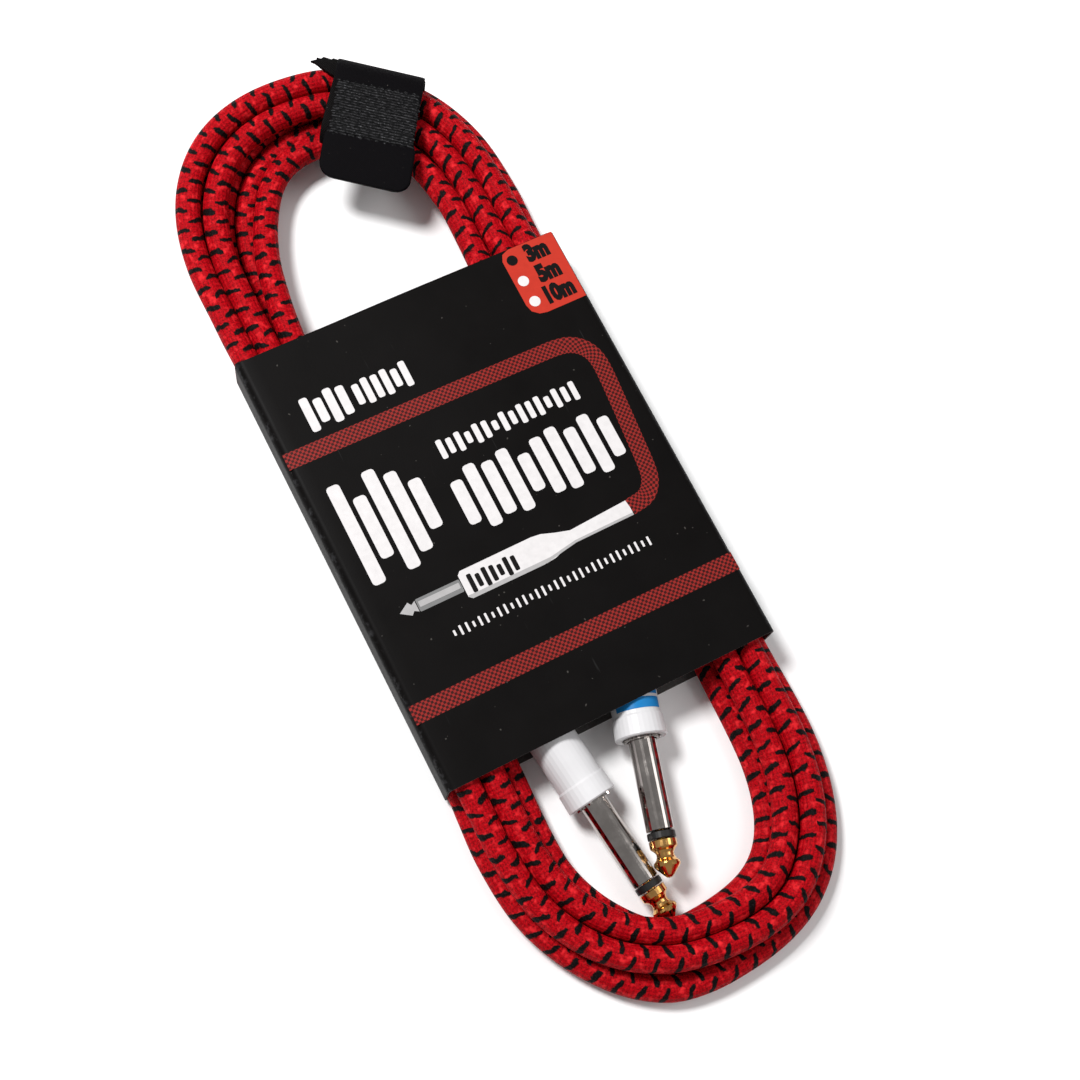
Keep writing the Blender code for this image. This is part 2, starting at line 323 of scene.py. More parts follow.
# slots of the strands in the bundle: (inset from the outline, height) in mm at each place.
# 0, 1, 2 are the lower layer from outside to inside, and 3, 4, 5 the upper one.
TOP_SLOTS = {
    RIGHT_HIGH: [(3.0, 3.1), (9.0, 3.1), (15.0, 3.1), (4.4, 8.6), (10.3, 8.7), (16.0, 8.8)],
    TOP_START + 0.25 * TOP_ROUND: [
        (3.0, 3.1), (9.2, 3.1), (15.6, 3.1), (4.6, 8.6), (10.8, 8.7), (17.2, 8.6)
    ],
    TOP_START + 0.5 * TOP_ROUND: [
        (3.4, 3.1), (9.6, 3.1), (15.8, 3.1), (3.6, 8.9), (9.8, 8.9), (18.8, 7.8)
    ],
    TOP_START + 0.78 * TOP_ROUND: [
        (3.8, 3.1), (10.0, 3.1), (16.0, 3.1), (2.9, 9.0), (9.0, 8.9), (19.4, 7.4)
    ],
    LEFT_HIGH: [(3.2, 3.1), (9.2, 3.1), (15.0, 3.1), (3.0, 9.0), (9.0, 9.0), (14.8, 8.9)],
}
BOTTOM_SLOTS = {
    LEFT_LOW: [(3.0, 3.1), (8.9, 3.1), (14.4, 3.1), (3.6, 8.9), (9.8, 8.8)],
    BOTTOM_START + 0.25 * BOTTOM_ROUND: [
        (3.0, 3.1), (8.8, 3.1), (13.8, 3.1), (4.6, 8.7), (10.7, 8.6)
    ],
    BOTTOM_START + 0.5 * BOTTOM_ROUND: [
        (3.0, 3.1), (9.0, 3.1), (14.6, 3.1), (6.0, 8.4), (12.1, 8.4)
    ],
    BOTTOM_START + 0.75 * BOTTOM_ROUND: [
        (3.0, 3.4), (9.1, 3.1), (14.8, 3.1), (7.4, 8.5), (13.6, 8.4)
    ],
    TURN + RIGHT_LOW: [(3.0, 3.1), (9.0, 3.1), (14.8, 3.1), (5.0, 8.7), (10.9, 8.7)],
}
# each top slot is followed by the bottom slot beside it
SLOT_ORDER = [(5, 4), (4, 3), (3, 0), (0, 1), (1, 2), (2, None)]

# the free ends, from the strain reliefs into the bundle
TAIL_A = [(20.9, -11.3, 5.6), (22.0, -7.3, 5.9), (23.0, 0.0, 6.6), (23.9, 12.0, 7.6)]
TAIL_B = [(-23.7, 12.0, 4.6), (-23.2, 0.0, 5.6), (-22.5, -9.0, 6.5), (-21.9, -17.0, 7.2)]
CARD_SPAN = (-56.6 * MM, 53.6 * MM)
CARD_INSIDE = (0.45 * MM, 12.9 * MM)
STEP = 2.5 * MM
TUBE_STEP = 0.52 * MM
TUBE_SIDES = 16
SWAY = 0.35
SETTLE_STEPS = 220
CONTACTS_PER_STEP = 3
HELD_END = 6.0
OWN_DRIFT = 0.3
SHARED_DRIFT = 0.35
DRIFT_KEPT = 0.995
PUSH_SHARE = 0.25
CONTACT = 1.004 * CABLE_D
NEIGHBOURS = 8
SINK = 0.03 * MM
CLEAR_OF_PLUG = 0.1 * MM
CLEAR_OF_FLOOR = 0.05 * MM
FREE_SWELL = 1.2 * MM


def on_track(place, inset):
    """The point at a nominal distance round the hank, inset from its outline."""
    place = place % TURN
    half_x = HANK_HALF_X - inset
    if place < TOP_START:
        return half_x, HANK_BOTTOM[0] + place
    if place < LEFT_START:
        angle = math.pi * (place - TOP_START) / TOP_ROUND
        start, height, skew = HANK_TOP[0], HANK_TOP[1] - inset, 0.0
    elif place < BOTTOM_START:
        return -half_x, HANK_TOP[0] - (place - LEFT_START)
    else:
        angle = math.pi * (1 + (place - BOTTOM_START) / BOTTOM_ROUND)
        start, height, skew = HANK_BOTTOM[0], HANK_BOTTOM[1] - inset, BOTTOM_SKEW
    power = 2 / END_SQUARENESS
    cosine, sine = math.cos(angle), math.sin(angle)
    x = half_x * math.copysign(abs(cosine) ** power, cosine)
    y = start + height * math.copysign(abs(sine) ** power, sine)
    return x + skew * sine * sine, y


def smooth_curve(points, step):
    """Evenly spaced points of a Catmull-Rom curve through the given ones."""
    points = np.asarray(points, float)
    ends = np.vstack([2 * points[0] - points[1], points, 2 * points[-1] - points[-2]])
    a, b, c, d = ends[:-3, None], ends[1:-2, None], ends[2:-1, None], ends[3:, None]
    t = np.linspace(0, 1, 16, endpoint=False)[None, :, None]
    curve = 2 * b + (c - a) * t + (2 * a - 5 * b + 4 * c - d) * t**2 + (3 * b - 3 * c + d - a) * t**3
    dense = np.vstack([(curve / 2).reshape(-1, points.shape[1]), points[-1:]])
    run = np.concatenate([[0], np.cumsum(np.linalg.norm(np.diff(dense, axis=0), axis=1))])
    even = np.linspace(0, run[-1], max(2, round(run[-1] / step) + 1))
    return np.stack([np.interp(even, run, dense[:, i]) for i in range(points.shape[1])], 1)


def wound_route():
    """The cable's line through its turns, before it settles."""
    keys = []
    for turn, (top, bottom) in enumerate(SLOT_ORDER):
        keys += [(turn * TURN + at, *slots[top]) for at, slots in TOP_SLOTS.items()]
        if bottom is not None:
            keys += [(turn * TURN + at, *slots[bottom]) for at, slots in BOTTOM_SLOTS.items()]
    places, insets, heights = np.array(keys).T
    fine = np.arange(places[0], places[-1] + 1e-9, STEP)
    # a shape-keeping blend between the places: smooth, with no overshoot
    upto = np.clip(np.searchsorted(places, fine, side="right") - 1, 0, len(places) - 2)
    share = (fine - places[upto]) / (places[upto + 1] - places[upto])
    share = share * share * (3 - 2 * share)
    inset = insets[upto] * (1 - share) + insets[upto + 1] * share
    height = heights[upto] * (1 - share) + heights[upto + 1] * share
    wander = SWAY * np.sin(fine / (31 * MM)) * np.sin(fine / (87 * MM) + 1.3)
    turns = [
        (*on_track(at, (deep + sway) * MM), z * MM)
        for at, deep, z, sway in zip(fine, inset, height, wander)
    ]
    start = np.array(TAIL_A) * MM
    end = np.array(TAIL_B) * MM
    return smooth_curve(np.vstack([start, turns[4::4], end]), STEP)


def push_off_rod(points, foot, tip, reach):
    """Moves points out of a rod's reach, in place."""
    axis = tip - foot
    share = np.clip((points - foot) @ axis / (axis @ axis), 0, 1)
    away = points - (foot + share[:, None] * axis)
    far = np.linalg.norm(away, axis=1)
    inside = far < reach
    points[inside] += away[inside] * ((reach - far[inside]) / far[inside])[:, None]


def settle(route, rods):
    """Lets the strands lie a diameter apart, on each other and the floor, inside the card.

    The rods are the plugs, and the points next to both free ends of the route stay where they are."""
    points = route.copy()
    count = len(points)
    index = np.arange(count)
    apart = np.abs(index[:, None] - index[None, :]) > NEIGHBOURS
    in_card_low, in_card_high = CARD_SPAN[0] - 2 * MM, CARD_SPAN[1] + 2 * MM
    movable = np.clip(np.minimum(index, count - 1 - index) / HELD_END - 0.5, 0, 1)[:, None]
    for _ in range(SETTLE_STEPS):
        drift = points - route
        drift[:, 2] -= SINK
        for _ in range(2):
            drift[1:-1] = OWN_DRIFT * drift[1:-1] + SHARED_DRIFT * (drift[:-2] + drift[2:])
        points = route + drift * movable * DRIFT_KEPT
        for _ in range(CONTACTS_PER_STEP):
            square = (points**2).sum(1)
            gap2 = square[:, None] + square[None, :] - 2 * points @ points.T
            first, second = np.nonzero((gap2 < CONTACT**2) & apart)
            keep = first < second
            first, second = first[keep], second[keep]
            between = points[first] - points[second]
            far = np.maximum(np.linalg.norm(between, axis=1), 1e-6)
            push = between / far[:, None] * (PUSH_SHARE * (CONTACT - far))[:, None]
            np.add.at(points, first, push)
            np.add.at(points, second, -push)
            for foot, tip, radius in rods:
                push_off_rod(points, foot, tip, radius + CABLE_R + CLEAR_OF_PLUG)
            in_card = (points[:, 1] > in_card_low) & (points[:, 1] < in_card_high)
            low = np.where(in_card, CARD_INSIDE[0], 0.0) + CABLE_R + CLEAR_OF_FLOOR
            high = np.where(in_card, CARD_INSIDE[1] - CABLE_R, 1.0)
            points[:, 2] = np.clip(points[:, 2], low, high)
            wide = HANK_HALF_X - CABLE_R + np.where(in_card, 0.0, FREE_SWELL)
            points[:, 0] = np.clip(points[:, 0], -wide, wide)
        points = route + (points - route) * movable
    return points


def tube_mesh(name, points, radius, sides, mat):
    """A closed round tube on the points. Its UVs are metres along it and the share of the way round."""
    ahead = np.gradient(points, axis=0)
    ahead /= np.linalg.norm(ahead, axis=1)[:, None]
    across = np.zeros_like(ahead)
    across[0] = np.cross(ahead[0], (0, 0, 1.0))
    for i in range(1, len(ahead)):
        carried = across[i - 1] - ahead[i] * (across[i - 1] @ ahead[i])
        across[i] = carried / np.linalg.norm(carried)
    above = np.cross(ahead, across)
    angles = np.arange(sides) * math.tau / sides
    rings = points[:, None] + radius * (
        np.cos(angles)[None, :, None] * across[:, None] + np.sin(angles)[None, :, None] * above[:, None]
    )
    run = np.concatenate([[0], np.cumsum(np.linalg.norm(np.diff(points, axis=0), axis=1))])
    faces = []
    corners = []
    for i in range(len(points) - 1):
        for j in range(sides):
            k = (j + 1) % sides
            faces.append((i * sides + j, i * sides + k, (i + 1) * sides + k, (i + 1) * sides + j))
            low, high = j / sides, (j + 1) / sides
            corners += [(run[i], low), (run[i], high), (run[i + 1], high), (run[i + 1], low)]
    last = (len(points) - 1) * sides
    faces.append(tuple(range(sides - 1, -1, -1)))
    faces.append(tuple(range(last, last + sides)))
    corners += [(0, 0)] * sides + [(run[-1], 0)] * sides
    mesh = bpy.data.meshes.new(name)
    mesh.from_pydata(rings.reshape(-1, 3).tolist(), [], faces)
    layer = mesh.uv_layers.new(name="weave")
    layer.data.foreach_set("uv", np.array(corners, np.float32).ravel())
    mesh.shade_smooth()
    mesh.materials.append(mat)
    return add_object(name, mesh)


PLUGS = {
    "a": (Vector((3.4, -64.5, 7.4)) * MM, Vector((-0.294, -0.955, 0.036)).normalized()),
    "b": (Vector((-12.9, -71.9, 6.1)) * MM, Vector((0.116, -0.993, -0.024)).normalized()),
}
# the stretches of a plug that the cable lies against: (start, end, radius), along it from its shoulder
PLUG_RODS = (
    (0.0, 28.3 * MM, 3.1 * MM),
    (-36 * MM, 0.0, 5.85 * MM),
    (-54 * MM, -36 * MM, 4.4 * MM),
)
GRIP_PRINT_RADIUS = 5.6 * MM


# ---------------------------------------------------------------- the card sleeve


CARD_HALF = 41.8 * MM
CARD_HIGH = 13.4 * MM
CARD_WALL = 0.45 * MM
CARD_FOLD = 2.2 * MM
CARD_MIDDLE_Y = -1.5 * MM
CARD_HALF_LENGTH = 55.1 * MM
CARD_ROWS = 60
FOLD_STEPS = 6
FACE_STEPS = 30
SIDE_STEPS = 5
PRINT_LIFT = 0.04 * MM
TOP_PRINT_LIFT = 2 * PRINT_LIFT
PRINT_EDGE = 6 * MM
NUMERAL_SIZE = 5.8
NUMERAL_BOLDNESS = 0.075
CONDENSED = 0.78


def card_swell(x, y):
    """How far the card's face stands out over the strands inside, in metres."""
    across = math.cos(math.pi * x / (2.2 * CARD_HALF))
    waves = 0.12 * math.sin(x / (9 * MM) + y / (40 * MM)) + 0.1 * math.sin(y / (14 * MM) + 1.0)
    return (0.25 * across + waves) * across * MM


def card_point(x, y, lift=0.0):
    """A point of the printed face, from places measured from the card's middle in metres."""
    return Vector((x, y + CARD_MIDDLE_Y, CARD_HIGH + card_swell(x, y) + lift))


def card_section():
    """(x, z, outward x, outward z) once round the folded card."""
    middle_z = CARD_HIGH / 2
    corners = ((1, 1, 0), (-1, 1, 90), (-1, -1, 180), (1, -1, 270))
    section = []
    for side_x, side_z, start in corners:
        for i in range(FOLD_STEPS + 1):
            angle = math.radians(start + 90 * i / FOLD_STEPS)
            out_x, out_z = math.cos(angle), math.sin(angle)
            x = side_x * (CARD_HALF - CARD_FOLD) + CARD_FOLD * out_x
            z = middle_z + side_z * (middle_z - CARD_FOLD) + CARD_FOLD * out_z
            section.append((x, z, out_x, out_z))
        if side_x == side_z:
            span = 2 * (CARD_HALF - CARD_FOLD)
            for i in range(1, FACE_STEPS):
                x = side_z * (CARD_HALF - CARD_FOLD - span * i / FACE_STEPS)
                section.append((x, CARD_HIGH if side_z > 0 else 0.0, 0.0, float(side_z)))
        else:
            for i in range(1, SIDE_STEPS):
                z = middle_z + side_z * (middle_z - CARD_FOLD) * (1 - 2 * i / SIDE_STEPS)
                section.append((side_x * CARD_HALF, z, float(side_x), 0.0))
    return section


def card_material():
    """Coated black card: a faint satin mottle, hairline scuffs, pale specks, and folds lightened partly by
    rubbing and partly by painted highlight.
    """
    s = Shade("card_printed_black")
    space = s.object_space()
    axes = s.node("ShaderNodeSeparateXYZ")
    s.put(axes.inputs[0], space)
    mottle = s.noise(space, 90, 4)
    grain = s.noise(space, 2500, 2)
    specks = s.step(s.noise(space, 800, 1), 0.765, 0.795)
    hair = s.step(s.noise(s.scaled(space, (900.0, 60.0, 60.0)), 1.0, 2), 0.72, 0.78)
    fold_band = s.step(s.math("ABSOLUTE", axes.outputs[0]), CARD_HALF - 1.5 * MM, CARD_HALF - 0.3 * MM)
    low = s.step(axes.outputs[2], CARD_HIGH - 0.9 * MM, CARD_HIGH - 2.6 * MM)
    fold = s.times(fold_band, s.math("SUBTRACT", 1.0, low))
    rub_and_glint_patches = s.step(s.noise(space, 420, 4, 0.7), 0.5, 0.68)
    base = s.mix(mottle, (0.0032, 0.0028, 0.0027), (0.0052, 0.0045, 0.0044))
    base = s.mix(s.times(hair, 0.35), base, (0.03, 0.03, 0.03))
    base = s.mix(s.times(specks, 0.4), base, (0.12, 0.11, 0.1))
    # the light grey on the top folds is partly rubbed card and partly painted highlight of light on the
    # rounded fold
    fold_rub_and_painted_highlight = s.times(s.times(fold, rub_and_glint_patches), 0.16)
    base = s.mix(fold_rub_and_painted_highlight, base, (0.16, 0.16, 0.17))
    rough = s.times_add(mottle, 0.18, 0.36)
    s.bump(s.times_add(grain, 0.35, mottle), 0.05 * MM, 0.5)
    return s.set(Base_Color=base, Roughness=rough, Specular_IOR_Level=0.04)


def board_material():
    """Uncoated card in dark grey, a painted shade standing in for the shadow inside the sleeve, also used
    on its cut ends; fibrous at its cut edges.
    """
    s = Shade("card_board_painted_shade")
    space = s.object_space()
    fibre = s.noise(space, 1800, 4, 0.7)
    # the board is darkened here as painted shade for the inside of the sleeve
    colour = s.mix(fibre, (0.03, 0.028, 0.027), (0.11, 0.105, 0.1))
    s.bump(fibre, 0.06 * MM, 0.8)
    return s.set(Base_Color=colour, Roughness=0.88, Specular_IOR_Level=0.2)


def add_card():
    """The folded sleeve, swollen a little by the strands, with its wall's thickness at both cut ends."""
    section = card_section()
    count = len(section)
    rings = []
    for row in range(CARD_ROWS + 1):
        y = CARD_HALF_LENGTH * (2 * row / CARD_ROWS - 1)
        for wall in (0.0, CARD_WALL):
            ring = []
            for x, z, out_x, out_z in section:
                swell = card_swell(x, y) * max(out_z, 0.0)
                ring.append((x - wall * out_x, y + CARD_MIDDLE_Y, z + swell - wall * out_z))
            rings.append(ring)
    verts = [point for ring in rings for point in ring]
    faces = []
    edge_faces = []

    def strip(first, second, into):
        for j in range(count):
            k = (j + 1) % count
            into.append((first * count + j, first * count + k, second * count + k, second * count + j))

    for row in range(CARD_ROWS):
        strip(2 * row, 2 * row + 2, faces)
        strip(2 * row + 3, 2 * row + 1, edge_faces)
    strip(1, 0, edge_faces)
    strip(2 * CARD_ROWS, 2 * CARD_ROWS + 1, edge_faces)
    mesh = bpy.data.meshes.new("card_shell")
    mesh.from_pydata(verts, [], faces + edge_faces)
    mesh.materials.append(card_material())
    mesh.materials.append(board_material())
    shares = [0] * len(faces) + [1] * len(edge_faces)
    mesh.polygons.foreach_set("material_index", shares)
    mesh.shade_smooth()
    mesh.set_sharp_from_angle(angle=math.radians(40))
    turn_faces_out(mesh)
    card = add_object("card_shell", mesh)
    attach(card, "cable")
    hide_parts("card_sleeve")


# ---------------------------------------------------------------- the card's print


def ink_material(name, colour, roughness=0.42):
    """Flat printing ink with a slight mottle, over the card's grain."""
    s = Shade(name)
    space = s.object_space()
    mottle = s.noise(space, 700, 3)
    grain = s.noise(space, 2500, 2)
    darker = tuple(0.8 * value for value in colour)
    base = s.mix(mottle, darker, colour)
    base = s.mix(s.times(s.step(grain, 0.72, 0.8), 0.4), base, (0.02, 0.02, 0.02))
    s.bump(grain, 0.03 * MM, 0.4)
    return s.set(Base_Color=base, Roughness=roughness, Specular_IOR_Level=0.1)


def checker_material():
    """A printed woven band of small red and black checks. UVs are in metres."""
    s = Shade("ink_checker_band")
    both = s.uv()[2]
    checks = s.node("ShaderNodeTexChecker")
    s.put(checks.inputs["Vector"], both)
    checks.inputs["Scale"].default_value = 1 / (0.62 * MM)
    mottle = s.noise(both, 900, 3)
    red = s.mix(mottle, (0.19, 0.013, 0.011), (0.3, 0.022, 0.018))
    share = s.times(checks.outputs["Fac"], 0.88)
    s.bump(mottle, 0.03 * MM, 0.4)
    return s.set(
        Base_Color=s.mix(share, red, (0.01, 0.004, 0.004)),
        Roughness=0.45,
        Specular_IOR_Level=0.1,
    )


def add_print(name, bm, mat, lift=PRINT_LIFT):
    """Lays a flat mesh, drawn in metres from the card's middle, on the card's face."""
    while long_edges := [edge for edge in bm.edges if edge.calc_length() > PRINT_EDGE]:
        bmesh.ops.subdivide_edges(bm, edges=long_edges, cuts=1)
        bmesh.ops.triangulate(bm, faces=bm.faces)
    for vert in bm.verts:
        vert.co = card_point(vert.co.x, vert.co.y, lift)
    bmesh.ops.recalc_face_normals(bm, faces=bm.faces)
    if sum(face.normal.z for face in bm.faces) < 0:
        bmesh.ops.reverse_faces(bm, faces=bm.faces)
    mesh = bpy.data.meshes.new(name)
    bm.to_mesh(mesh)
    bm.free()
    mesh.shade_smooth()
    mesh.materials.append(mat)
    made = add_object(name, mesh)
    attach(made, "cable")


def fill_outlines(outlines):
    """A flat mesh of filled outlines, given in mm."""
    bm = bmesh.new()
    for outline in outlines:
        verts = [bm.verts.new((x * MM, y * MM, 0)) for x, y in outline]
        edges = [bm.edges.new((verts[i - 1], verts[i])) for i in range(len(verts))]
        bmesh.ops.triangle_fill(bm, use_beauty=True, edges=edges)
    return bm


def round_box(left, low, right, high, radius, steps=4):
    """A rectangle with round corners, in mm."""
    points = []
    corners = (
        (right, high, -1, -1, 0),
        (left, high, 1, -1, 90),
        (left, low, 1, 1, 180),
        (right, low, -1, 1, 270),
    )
    for x, y, in_x, in_y, start in corners:
        for i in range(steps + 1):
            angle = math.radians(start + 90 * i / steps)
            centre_x, centre_y = x + in_x * radius, y + in_y * radius
            points.append((centre_x + radius * math.cos(angle), centre_y + radius * math.sin(angle)))
    return points


def dot(x, y):
    radius, steps = 1.35, 28
    angles = [math.tau * i / steps for i in range(steps)]
    return [(x + radius * math.cos(angle), y + radius * math.sin(angle)) for angle in angles]


def wave_bars(left, low, right, high, shares, fill):
    """Upright round-ended bars, like a sound wave, filling a box. The shares are the bars' heights."""
    pitch = (right - left) / (len(shares) - 1 + fill)
    width = pitch * fill
    radius = min(0.3 * width, 0.9)
    tall = high - low
    bars = []
    for i, share in enumerate(shares):
        x = left + pitch * i
        bottom = low + tall * (1 - share) / 2
        bars.append(round_box(x, bottom, x + width, bottom + tall * share, radius, 3))
    return bars


def add_ribbon(name, path, width, mat):
    """A printed band of even width along a path given in mm."""
    line = smooth_curve(np.array(path) * MM, 1.0 * MM)
    ahead = np.gradient(line, axis=0)
    ahead /= np.linalg.norm(ahead, axis=1)[:, None]
    side = np.stack([-ahead[:, 1], ahead[:, 0]], 1) * width / 2
    run = np.concatenate([[0], np.cumsum(np.linalg.norm(np.diff(line, axis=0), axis=1))])
    verts, places = [], []
    for point, out, far in zip(line, side, run):
        for share in (-1, 0, 1):
            x, y = point + out * share
            verts.append(card_point(x, y, PRINT_LIFT))
            places.append((far, share * width / 2))
    faces = []
    for i in range(len(line) - 1):
        for j in range(2):
            a = 3 * i + j
            faces.append((a, a + 3, a + 4, a + 1))
    mesh = bpy.data.meshes.new(name)
    mesh.from_pydata(verts, [], faces)
    set_uvs(mesh, faces, places)
    mesh.materials.append(mat)
    mesh.shade_smooth()
    made = add_object(name, mesh)
    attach(made, "cable")


def numeral_mesh(text, x, y, size):
    """The flat mesh of a text centred at a place in mm."""
    curve = bpy.data.curves.new("numeral", "FONT")
    curve.body = text
    curve.size = size * MM
    curve.align_x = "CENTER"
    curve.align_y = "CENTER"
    curve.offset = NUMERAL_BOLDNESS * size * MM
    curve.resolution_u = 3
    helper = add_object("numeral", curve)
    bpy.context.view_layer.update()
    graph = bpy.context.evaluated_depsgraph_get()
    mesh = bpy.data.meshes.new_from_object(helper.evaluated_get(graph))
    bpy.data.objects.remove(helper, do_unlink=True)
    bm = bmesh.new()
    bm.from_mesh(mesh)
    bpy.data.meshes.remove(mesh)
    bmesh.ops.scale(bm, verts=bm.verts, vec=(CONDENSED, 1, 1))
    bmesh.ops.translate(bm, verts=bm.verts, vec=(x * MM, y * MM, 0))
    return bm


def add_card_print():
    """The card's printed picture, with its outlines in mm from the card's middle."""
    white = ink_material("ink_white", (0.72, 0.695, 0.695))
    grey = ink_material("ink_grey", (0.2, 0.2, 0.2))
    pale_grey = ink_material("ink_pale_grey", (0.42, 0.41, 0.41))
    black = ink_material("ink_black", (0.005, 0.004, 0.004))
    orange = ink_material("ink_orange_red", (0.5, 0.035, 0.02))
    checker = checker_material()

    corner_path = [
        (-41.3, 28.3), (-20.0, 28.1), (0.0, 27.9), (20.0, 27.7), (28.5, 27.5), (32.5, 26.2), (35.0, 23.3),
        (35.8, 19.0), (35.2, 10.0), (34.3, 0.0), (33.5, -8.0), (32.4, -11.5), (29.8, -14.1), (25.2, -14.9),
    ]
    lower_path = [(-41.3, -36.7), (-14.0, -36.7), (14.0, -36.7), (41.3, -36.7)]
    add_ribbon("print_band_upper", corner_path, 4.1 * MM, checker)
    add_ribbon("print_band_lower", lower_path, 4.5 * MM, checker)

    panel = [
        (41.0, 55.0), (29.2, 55.0), (27.4, 54.3), (26.6, 52.6), (26.6, 40.2),
        (27.1, 38.3), (28.6, 37.0), (30.5, 36.6), (41.0, 36.6),
    ]
    add_print("print_panel", fill_outlines([panel]), orange)
    add_print("print_dot_chosen", fill_outlines([dot(28.9, 52.0)]), black, TOP_PRINT_LIFT)
    other_dots = fill_outlines([dot(28.9, 46.1), dot(29.0, 40.3)])
    add_print("print_dots", other_dots, white, TOP_PRINT_LIFT)
    for text, x, y in (("3m", 35.4, 51.9), ("5m", 35.6, 46.0), ("10m", 35.4, 40.3)):
        numerals = numeral_mesh(text, x, y, NUMERAL_SIZE)
        add_print("print_length_" + text, numerals, black, TOP_PRINT_LIFT)

    # sound-wave bars fill the card's large printed areas
    title_left = (1.0, 0.62, 1.0, 0.8, 0.5)
    title_right = (0.7, 1, 0.85, 1, 0.6, 0.9, 1, 0.75, 0.95, 0.65)
    over_title = (1, 0.8, 1, 0.6, 1, 0.9, 0.5, 1, 0.7, 1, 0.9, 1, 0.6, 1, 0.8, 1)
    heading_left = (1.0, 0.7, 1.0, 0.85)
    heading_right = (0.8, 1, 0.9, 1, 0.7, 1)
    under_title = [0.55 + 0.45 * abs(math.sin(2.1 * i)) for i in range(32)]
    bars = wave_bars(-36.0, -6.6, -15.4, 18.9, title_left, 0.74)
    bars += wave_bars(-10.0, -5.6, 31.0, 10.4, title_right, 0.72)
    bars += wave_bars(-8.5, 13.7, 27.5, 18.6, over_title, 0.6)
    bars += wave_bars(-32.5, 32.2, -21.6, 41.0, heading_left, 0.72)
    bars += wave_bars(-20.0, 33.2, -6.2, 39.8, heading_right, 0.68)
    bars += wave_bars(-24.8, -25.2, 25.6, -22.7, under_title, 0.34)
    add_print("print_wave_bars", fill_outlines(bars), white)

    body = [
        (25.2, -13.0), (10.0, -13.9), (6.5, -12.9), (3.4, -11.8), (1.0, -11.5), (-17.2, -11.6),
        (-18.0, -12.4), (-18.0, -17.8), (-17.2, -18.6), (1.0, -18.6), (4.0, -18.3), (7.0, -17.4),
        (10.0, -17.1), (25.2, -16.9),
    ]
    body_shade = [
        (25.2, -16.3), (10.0, -16.5), (3.0, -17.6), (-18.0, -17.6),
        (-17.2, -18.6), (1.0, -18.6), (10.0, -17.1), (25.2, -16.9),
    ]
    shaft = round_box(-29.2, -16.3, -18.2, -13.2, 0.3)
    shaft_shine = round_box(-28.8, -15.3, -18.6, -13.9, 0.2)
    tip = [
        (-29.4, -13.4), (-30.4, -14.0), (-31.0, -13.1), (-33.6, -14.7),
        (-31.2, -16.3), (-30.4, -15.5), (-29.4, -16.1),
    ]
    marks = wave_bars(-16.4, -17.6, -4.4, -13.0, (1, 0.7, 1, 0.85, 0.6, 1, 0.8), 0.62)
    add_print("print_plug_body", fill_outlines([body]), white)
    add_print("print_plug_shade", fill_outlines([body_shade]), pale_grey, TOP_PRINT_LIFT)
    add_print("print_plug_shaft", fill_outlines([shaft]), grey)
    add_print("print_plug_shine", fill_outlines([shaft_shine]), pale_grey, TOP_PRINT_LIFT)
    add_print("print_plug_tip", fill_outlines([tip]), pale_grey)
    add_print("print_plug_marks", fill_outlines(marks), black, TOP_PRINT_LIFT)


def add_cable():
    """The one cable, from plug A's strain relief through all its turns to plug B's."""
    rods = []
    for shoulder, ahead in PLUGS.values():
        shoulder, ahead = np.array(shoulder), np.array(ahead)
        for start, end, radius in PLUG_RODS:
            rods.append((shoulder + ahead * start, shoulder + ahead * end, radius))
    line = smooth_curve(settle(wound_route(), rods), TUBE_STEP)
    cable = tube_mesh("cable_braided", line, CABLE_R, TUBE_SIDES, braid_material())
    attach(cable, "cable")
    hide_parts("cable_hank", "cable_tail_a", "cable_tail_b")


# ---------------------------------------------------------------- the hook-and-loop strap


STRAP_AT = Vector((17.3, 102.4, 0.0)) * MM
STRAP_ANGLE = math.radians(-38.3)
STRAP_WIDTH = 21.6 * MM
STRAP_THICK = 1.1 * MM
STRAP_Y = (-11.9 * MM, 13.1 * MM)
STRAP_HEIGHT = 14.05 * MM
FLAP_ROOT_Y = 9.3 * MM
FLAP_END_Y = -22.6 * MM
FLAP_TOP = 15.35 * MM
FLAP_THICK = 1.0 * MM
FLAP_HALF_WIDTH = 10.9 * MM
FLAP_CORNER = 3.6 * MM
FLAP_LEAN = 0.06
FLAP_ASIDE = 0.5 * MM
FLAP_ROWS = 84
PATCH_Y = (-11.6 * MM, 3.2 * MM)
PATCH_HALF_WIDTH = 10.25 * MM
PATCH_COLUMNS = 96
PATCH_LINES = 78
PULLED_IN = 1.4 * MM
LOOP_CORNER = 6.0 * MM
LOOP_SMALL_CORNER = 3.4 * MM
LOOP_STEP = 0.8 * MM
BEND_STEPS = 8
CUT_END_THICK = 0.8 * MM
STRAP_PLACE = Matrix.Translation(STRAP_AT) @ Matrix.Rotation(STRAP_ANGLE, 4, "Z")


def webbing_material(name, dark, light, ribs, rib_height):
    """Black woven tape: ribs across it, fine yarn and a few pale lint specks."""
    s = Shade(name)
    along, across, both = s.uv()
    wave = s.math("SINE", s.times(along, math.tau / ribs))
    cross = s.math("SINE", s.times(across, math.tau / (0.55 * MM)))
    weave = s.times_add(s.times(wave, cross), 0.5, 0.5)
    yarn = s.noise(both, 2600, 3, 0.7)
    patchy = s.noise(both, 160, 3)
    lint = s.step(s.noise(both, 1500, 1), 0.76, 0.8)
    shade = s.times_add(weave, 0.45, s.times(yarn, 0.6))
    colour = s.mix(s.step(shade, 0.3, 0.9), dark, light)
    colour = s.mix(s.times(patchy, 0.35), colour, dark)
    colour = s.mix(s.times(lint, 0.5), colour, (0.25, 0.22, 0.2))
    s.bump(s.times_add(yarn, 0.6, weave), rib_height, 0.9)
    return s.set(
        Base_Color=colour,
        Roughness=0.6,
        Specular_IOR_Level=0.03,
    )


